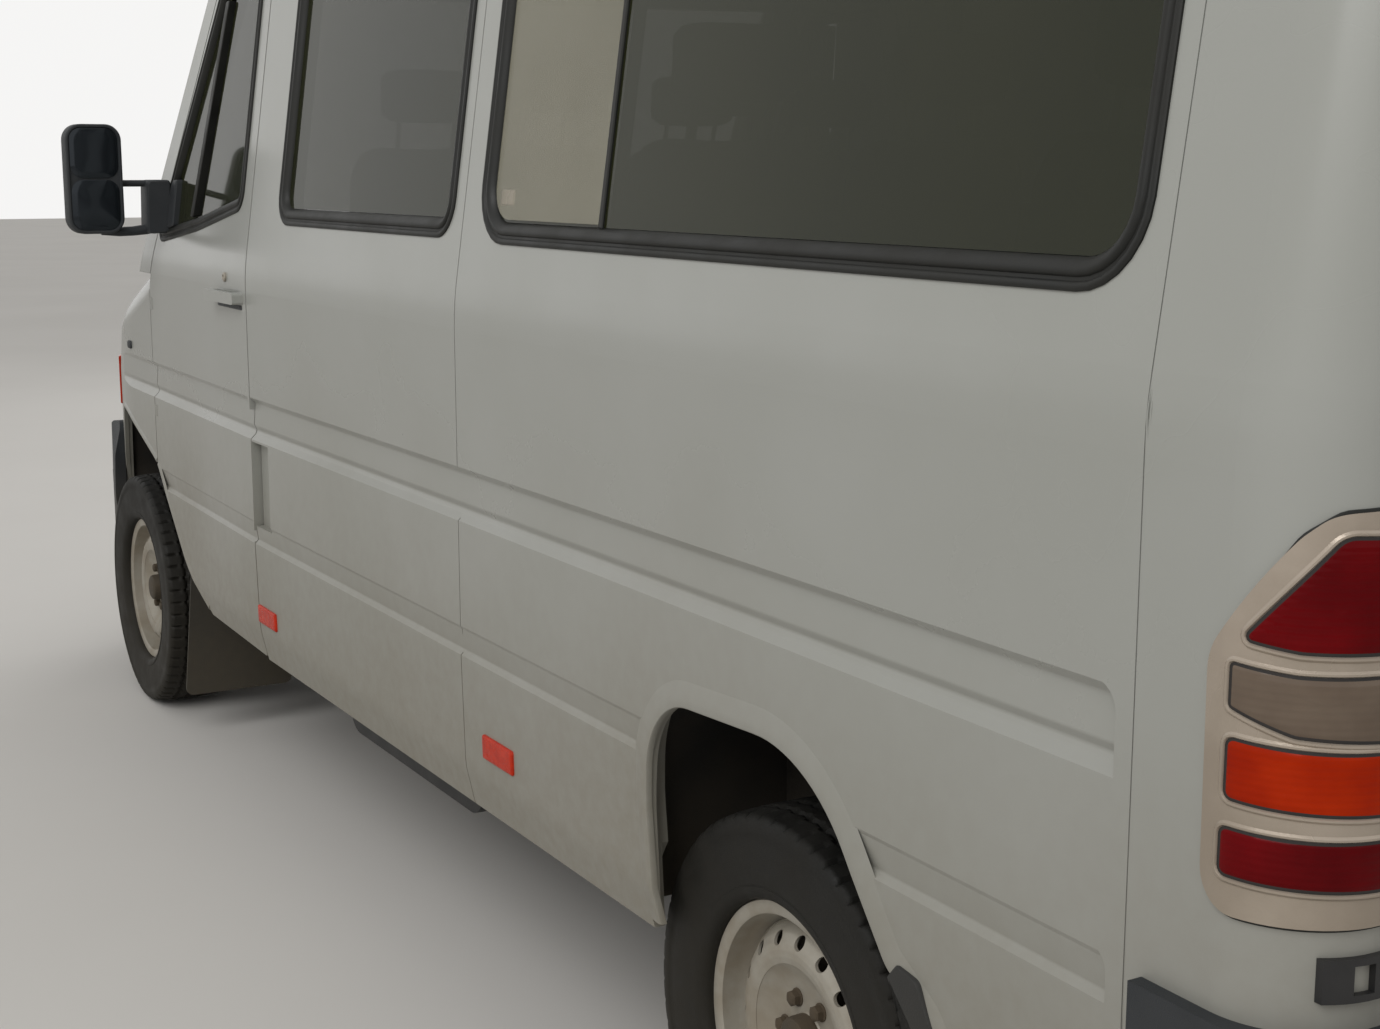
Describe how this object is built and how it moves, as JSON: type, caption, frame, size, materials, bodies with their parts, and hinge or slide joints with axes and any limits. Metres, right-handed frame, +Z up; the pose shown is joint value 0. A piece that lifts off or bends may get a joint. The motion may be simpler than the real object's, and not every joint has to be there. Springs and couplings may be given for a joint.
{
  "type": "minibus",
  "caption": "High-roof minibus with steel wheels, long side windows, swinging cab doors, paired rear doors, lifting bonnet and steered front wheels.",
  "frame": {"origin": "on the ground under the middle of the overall length and width", "axes": "+X forward to the nose, +Y to the vehicle's left, +Z up"},
  "size_m": [5.5998, 2.372, 2.5849],
  "materials": {
    "body_paint": "gloss",
    "under_metal": "matt",
    "trim_metal": "satin",
    "wheel_steel": "satin",
    "axle_iron": "rough",
    "exhaust_steel": "dull",
    "tank_plastic": "matt",
    "trim_plastic": "matt",
    "cab_plastic": "matt",
    "seal_rubber": "matt",
    "flap_rubber": "matt",
    "tyre_rubber": "dusty",
    "tinted_glass": "gloss",
    "clear_glass": "gloss",
    "lamp_lens": "gloss",
    "red_lens": "gloss",
    "seat_fabric": "woven"
  },
  "bodies": {
    "body": {"side_panel_left": "body_paint", "side_panel_right": "body_paint", "sliding_door": "body_paint", "side_window_seals": "seal_rubber", "side_glass": "tinted_glass", "roof": "body_paint", "windscreen_frame": "body_paint", "windscreen_glass": "clear_glass", "bulkhead": "under_metal", "front_wings": "body_paint", "front_panel": "body_paint", "headlamps": "lamp_lens", "grille": "trim_plastic", "front_bumper": "trim_plastic", "rear_frame": "body_paint", "tail_lamps": "red_lens", "rear_hinges": "trim_metal", "rear_bumper": "trim_plastic", "floor": "under_metal", "wheel_houses": "under_metal", "mud_flaps": "flap_rubber", "front_subframe": "under_metal", "rear_axle": "axle_iron", "engine": "axle_iron", "fuel_tank": "tank_plastic", "exhaust": "exhaust_steel", "spare_wheel": "tyre_rubber", "seats": "seat_fabric", "dashboard": "cab_plastic"},
    "bonnet": {"bonnet": "body_paint"},
    "front_door_left": {"front_door_left": "body_paint", "door_glass_left": "tinted_glass", "door_trim_left": "trim_plastic"},
    "rear_door_left": {"rear_door_left": "body_paint", "rear_door_glass_left": "tinted_glass", "rear_door_seal_left": "seal_rubber"},
    "knuckle_left": {"knuckle_left": "axle_iron"},
    "wheel_front_left": {"tyre_front_left": "tyre_rubber", "wheel_front_left": "wheel_steel"},
    "wheel_rear_left": {"tyre_rear_left": "tyre_rubber", "wheel_rear_left": "wheel_steel"},
    "front_door_right": {"front_door_right": "body_paint", "door_glass_right": "tinted_glass", "door_trim_right": "trim_plastic"},
    "rear_door_right": {"rear_door_right": "body_paint", "rear_door_glass_right": "tinted_glass", "rear_door_seal_right": "seal_rubber"},
    "knuckle_right": {"knuckle_right": "axle_iron"},
    "wheel_front_right": {"tyre_front_right": "tyre_rubber", "wheel_front_right": "wheel_steel"},
    "wheel_rear_right": {"tyre_rear_right": "tyre_rubber", "wheel_rear_right": "wheel_steel"},
    "track_rod": {"track_rod": "axle_iron"},
    "steering_wheel": {"steering_wheel": "cab_plastic"}
  },
  "joints": [
    {"name": "steer_left", "type": "hinge", "parent": "body", "child": "knuckle_left", "pos_m": [1.83, 0.675, 0.34], "axis": [0, 0, 1], "range_deg": [-35, 35]},
    {"name": "spin_front_left", "type": "hinge", "parent": "knuckle_left", "child": "wheel_front_left", "pos_m": [1.83, 0.8, 0.34], "axis": [0, 1, 0], "continuous": true},
    {"name": "spin_rear_left", "type": "hinge", "parent": "body", "child": "wheel_rear_left", "pos_m": [-1.72, 0.8, 0.34], "axis": [0, 1, 0], "continuous": true},
    {"name": "front_door_left_swing", "type": "hinge", "parent": "body", "child": "front_door_left", "pos_m": [1.408, 0.93644, 1.2], "axis": [0, 0, -1], "range_deg": [0, 70]},
    {"name": "rear_door_left_swing", "type": "hinge", "parent": "body", "child": "rear_door_left", "pos_m": [-2.747, 0.801, 1.4], "axis": [0, 0, -1], "range_deg": [0, 180]},
    {"name": "steer_right", "type": "hinge", "parent": "body", "child": "knuckle_right", "pos_m": [1.83, -0.675, 0.34], "axis": [0, 0, 1], "range_deg": [-35, 35]},
    {"name": "spin_front_right", "type": "hinge", "parent": "knuckle_right", "child": "wheel_front_right", "pos_m": [1.83, -0.8, 0.34], "axis": [0, 1, 0], "continuous": true},
    {"name": "spin_rear_right", "type": "hinge", "parent": "body", "child": "wheel_rear_right", "pos_m": [-1.72, -0.8, 0.34], "axis": [0, 1, 0], "continuous": true},
    {"name": "front_door_right_swing", "type": "hinge", "parent": "body", "child": "front_door_right", "pos_m": [1.408, -0.93644, 1.2], "axis": [0, 0, 1], "range_deg": [0, 70]},
    {"name": "rear_door_right_swing", "type": "hinge", "parent": "body", "child": "rear_door_right", "pos_m": [-2.747, -0.801, 1.4], "axis": [0, 0, 1], "range_deg": [0, 180]},
    {"name": "bonnet_lift", "type": "hinge", "parent": "body", "child": "bonnet", "pos_m": [1.69, 0, 1.232], "axis": [0, -1, 0], "range_deg": [0, 50]},
    {"name": "steering_wheel_turn", "type": "hinge", "parent": "body", "child": "steering_wheel", "pos_m": [1.175, 0.5, 1.185], "axis": [-0.866, 0, 0.5], "range_deg": [-525, 525]},
    {"name": "track_rod_slide", "type": "slide", "parent": "body", "child": "track_rod", "axis": [0, 1, 0], "range_m": [-0.092, 0.092]}
  ],
  "couplings": [
    {"joint": "steer_right", "follows": "steer_left", "ratio": 1},
    {"joint": "steering_wheel_turn", "follows": "steer_left", "ratio": 15},
    {"joint": "track_rod_slide", "follows": "steer_left", "m_per_rad": -0.15}
  ]
}
